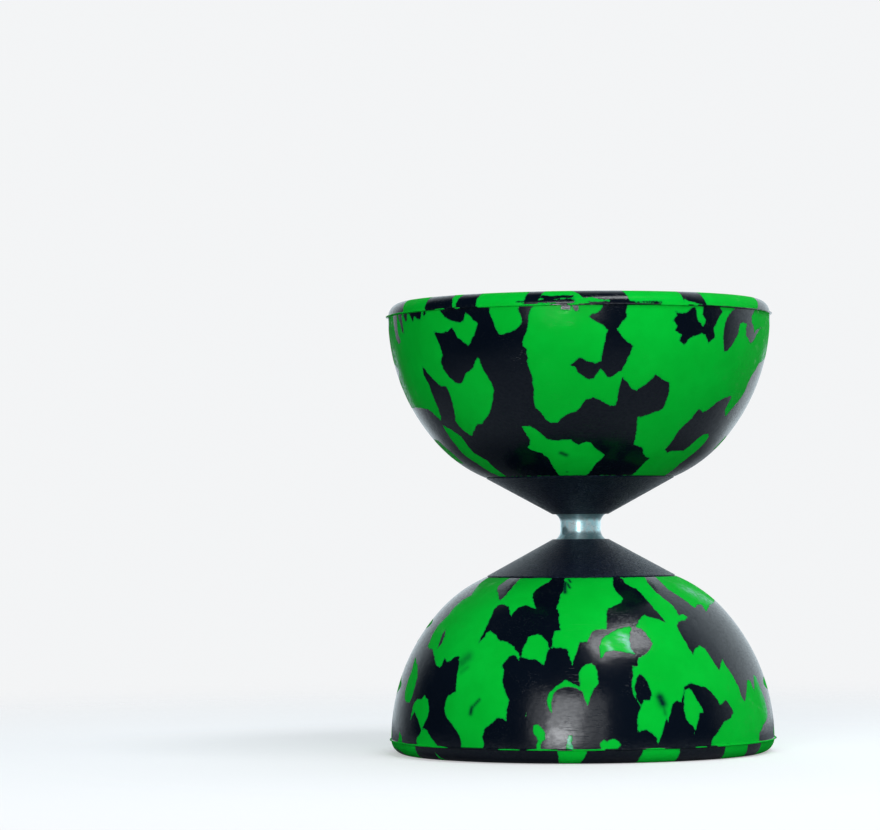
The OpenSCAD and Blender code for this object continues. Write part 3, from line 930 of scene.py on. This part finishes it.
def make_plate(side, material):
    """The black plate that clamps the cup's floor, with a shallow ring groove moulded in its face."""
    groove_in, groove_out, groove_slope = 14.5, 16.5, 0.3
    low, top, groove_h = FLOOR_H, PLATE_TOP_H, PLATE_TOP_H - 0.5
    corners = [(PLATE_R, low), (PLATE_R, top), (groove_out, top), (groove_out - groove_slope, groove_h),
               (groove_in + groove_slope, groove_h), (groove_in, top), (HUB_BORE_R, top),
               (HUB_BORE_R, low)]
    outline = subdivided(rounded(corners, [0.4, 1.0, 0.15, 0.15, 0.15, 0.15, 0.1, 0.1]), 1.2)
    edges = [(PLATE_R - 0.3, top - 0.3), (groove_out, top), (groove_in, top)]
    make_turned(side, "plate_moulded", "clamp_plate", material, outline, 192, edges, 0.9)


def make_washer(side, material):
    """A stamped washer: its edges are rolled a little on one side."""
    edges = [(WASHER_R, WASHER_TOP_H), (WASHER_BORE_R, WASHER_TOP_H)]
    corners = [(WASHER_R, WASHER_H), *edges, (WASHER_BORE_R, WASHER_H)]
    outline = subdivided(rounded(corners, [0.1, 0.35, 0.25, 0.05]), 0.6)
    make_turned(side, "washer_stamped", "washer", material, outline, 128, edges, 0.6)


def make_locknut(side, material):
    """A hexagon locknut with chamfered corners and a round collar rolled in over its nylon ring."""
    flat = NUT_ACROSS_FLATS / 2
    face_r = flat - 0.15
    corners = [(face_r, NUT_H), (face_r, NUT_HEX_TOP_H), (NUT_COLLAR_R, NUT_HEX_TOP_H + 0.12),
               (NUT_COLLAR_R, NUT_TOP_H), (NUT_MOUTH_R, NUT_TOP_H - 0.1), (NUT_MOUTH_R, INSERT_TOP_H),
               (INSERT_R, INSERT_TOP_H), (INSERT_R, INSERT_H), (HUB_BORE_R, INSERT_H),
               (HUB_BORE_R, NUT_H)]
    outline = subdivided(rounded(corners, [0, 0, 0.1, 0.55, 0.1, 0, 0, 0, 0, 0.3]), 0.3)
    radius, height, azimuth = turned_grid(outline, 144)
    hexagon = flat / np.cos(np.radians(np.mod(azimuth, 60) - 30))
    into_face = np.maximum(np.minimum(height - NUT_H, NUT_HEX_TOP_H - height), 0)
    chamfer = face_r + into_face / math.tan(math.radians(30))
    radius = np.where(radius > face_r - 1e-6, np.minimum(hexagon, chamfer), radius)
    corner_reach = flat * 0.155
    corner_wear = np.clip((radius - flat) / corner_reach, 0, 1) ** 2
    piece = ring_mesh(SIDE_NAMES[side] + "_locknut_hex", radius, height, side,
                      {"edge_wear": corner_wear}, sharp_angle=24)
    place_piece(piece, SIDE_NAMES[side] + "_locknut", material)


def make_insert(side, material):
    """The nylon ring in the locknut, cut by the rod's thread."""
    low, top = INSERT_H + INSERT_INSET, INSERT_TOP_H - INSERT_INSET
    outer = INSERT_R - INSERT_INSET
    corners = [(outer, low), (outer, top), (INSERT_BORE_R, top), (INSERT_BORE_R, low)]
    outline = subdivided(rounded(corners, [0.1, 0.1, 0.3, 0.1]), 0.4)
    make_turned(side, "insert_ring", "nut_insert", material, outline, 96)


def make_object():
    """Builds every piece of the diabolo."""
    rubber = rubber_material()
    hub = nylon_material("hub_nylon_satin", (0.0008, 0.0020, 0.0100, 1), (0.0014, 0.0030, 0.0125, 1),
                         grain_size=0.62, roughness=0.40)
    plate = nylon_material("plate_nylon_satin", (0.010, 0.011, 0.013, 1), (0.016, 0.017, 0.020, 1),
                           grain_size=0.25, roughness=0.46)
    zinc = zinc_material()
    insert = insert_material()
    make_spool(polished_material())
    make_rod(zinc)
    for side in (UPPER, LOWER):
        make_cup(side, rubber)
        make_cone(side, hub)
        make_plate(side, plate)
        make_washer(side, zinc)
        make_locknut(side, zinc)
        make_insert(side, insert)


# --- Camera, stage and light ---
def make_camera():
    """A long lens, level with the object's middle, which sits right of and below the picture's."""
    place = Vector((0, -1.150, MIDDLE + 0.00075))
    aim = Vector((-0.0454, 0, MIDDLE + 0.0367))
    roll = Matrix.Rotation(-0.0082, 4, "Z")
    data = bpy.data.cameras.new("camera")
    data.lens, data.sensor_width = 144.6, 36
    data.clip_start, data.clip_end = 0.05, 50
    camera = add_object("camera", data)
    turn = (aim - place).to_track_quat("-Z", "Y").to_matrix().to_4x4()
    camera.matrix_world = Matrix.Translation(place) @ turn @ roll
    bpy.context.scene.camera = camera


def make_floor():
    """A pale floor that fades into the backdrop, so that no horizon shows."""
    steps, reach, gap = 96, 3.0, 0.0001
    mesh = bpy.data.meshes.new("floor")
    angles = [2 * math.pi * i / steps for i in range(steps)]
    ring = [(reach * math.cos(angle), reach * math.sin(angle), 0) for angle in angles]
    mesh.from_pydata(ring, [], [tuple(range(steps))])
    floor = add_object("floor", mesh)
    floor.location.z = CAD_BOX[0].z - gap
    tree = Tree(bpy.data.materials.new("floor_pale"))
    seen = tree.node("LightPath", output="Is Camera Ray")
    lit = tree.node("BsdfDiffuse", {"Color": tree.mix(seen, (0.30, 0.32, 0.35, 1), (0.70, 0.71, 0.72, 1))})
    glow = tree.node("Emission", {"Color": (0.98, 0.98, 0.98, 1), "Strength": seen * 0.40})
    pale = tree.node("AddShader", {0: lit, 1: glow})
    outwards = tree.vector("LENGTH", {0: tree.node("TexCoord", output="Object")}, "Value")
    fade = tree.spread(outwards, 0.10, 0.55)
    tree.surface("MixShader", {0: fade, 1: pale, 2: tree.node("BsdfTransparent")})
    mesh.materials.append(tree.owner)


def make_world():
    """A white studio all round, with a dark opening on the photographer's side."""
    tree = Tree(bpy.data.worlds.new("studio"))
    around = tree.node("TexCoord", output="Generated")
    away = tree.vector("DOT_PRODUCT", {0: around, 1: (0.34, 1.0, 0.24)}, "Value")
    tint = tree.mix(tree.spread(away, 0.22, 1.0), (0.012, 0.022, 0.038, 1), (1.04, 1.20, 1.28, 1))
    reflected = tree.node("Background", {"Color": tint})
    seen = tree.node("Background", {"Color": (0.90, 0.91, 0.92, 1)})
    camera_ray = tree.node("LightPath", output="Is Camera Ray")
    tree.surface("MixShader", {0: camera_ray, 1: reflected, 2: seen})
    bpy.context.scene.world = tree.owner


def make_light(name, azimuth, elevation, distance, width, height, radiance, mirrored=True):
    """A rectangular softbox that faces the object. Its power follows from how bright its face is."""
    data = bpy.data.lights.new(name, "AREA")
    data.shape = "RECTANGLE"
    data.size, data.size_y = width, height
    data.energy = radiance * math.pi * width * height
    if mirrored:
        data.color = (0.94, 0.97, 1.0)
    light = add_object(name, data)
    azimuth, elevation = math.radians(azimuth), math.radians(elevation)
    level = math.cos(elevation)
    back = Vector((math.sin(azimuth) * level, -math.cos(azimuth) * level, math.sin(elevation)))
    light.location = Vector((0, 0, MIDDLE)) + back * distance
    light.rotation_mode = "QUATERNION"
    light.rotation_quaternion = back.to_track_quat("Z", "Y")
    light.visible_camera = False
    light.visible_glossy = mirrored


def make_studio():
    """The stage and its lights."""
    make_world()
    make_floor()
    make_light("front_softbox", -13.5, 1.4, 1.8, 0.40, 0.35, 8.2)
    make_light("front_glow", -9.8, 11.5, 1.9, 0.62, 0.92, 4.2)
    make_light("front_halo", -8.5, 12, 2.1, 1.70, 1.20, 1.35)
    make_light("top_softbox", 39.7, 57, 1.2, 0.74, 0.36, 7.6)
    make_light("front_fill", -2, 14, 2.2, 2.4, 2.4, 1.0, mirrored=False)
    make_light("right_fill", 82, 10, 2.2, 1.2, 1.6, 1.4, mirrored=False)
    bpy.context.scene.view_settings.view_transform = "Standard"


make_camera()
make_studio()
make_object()
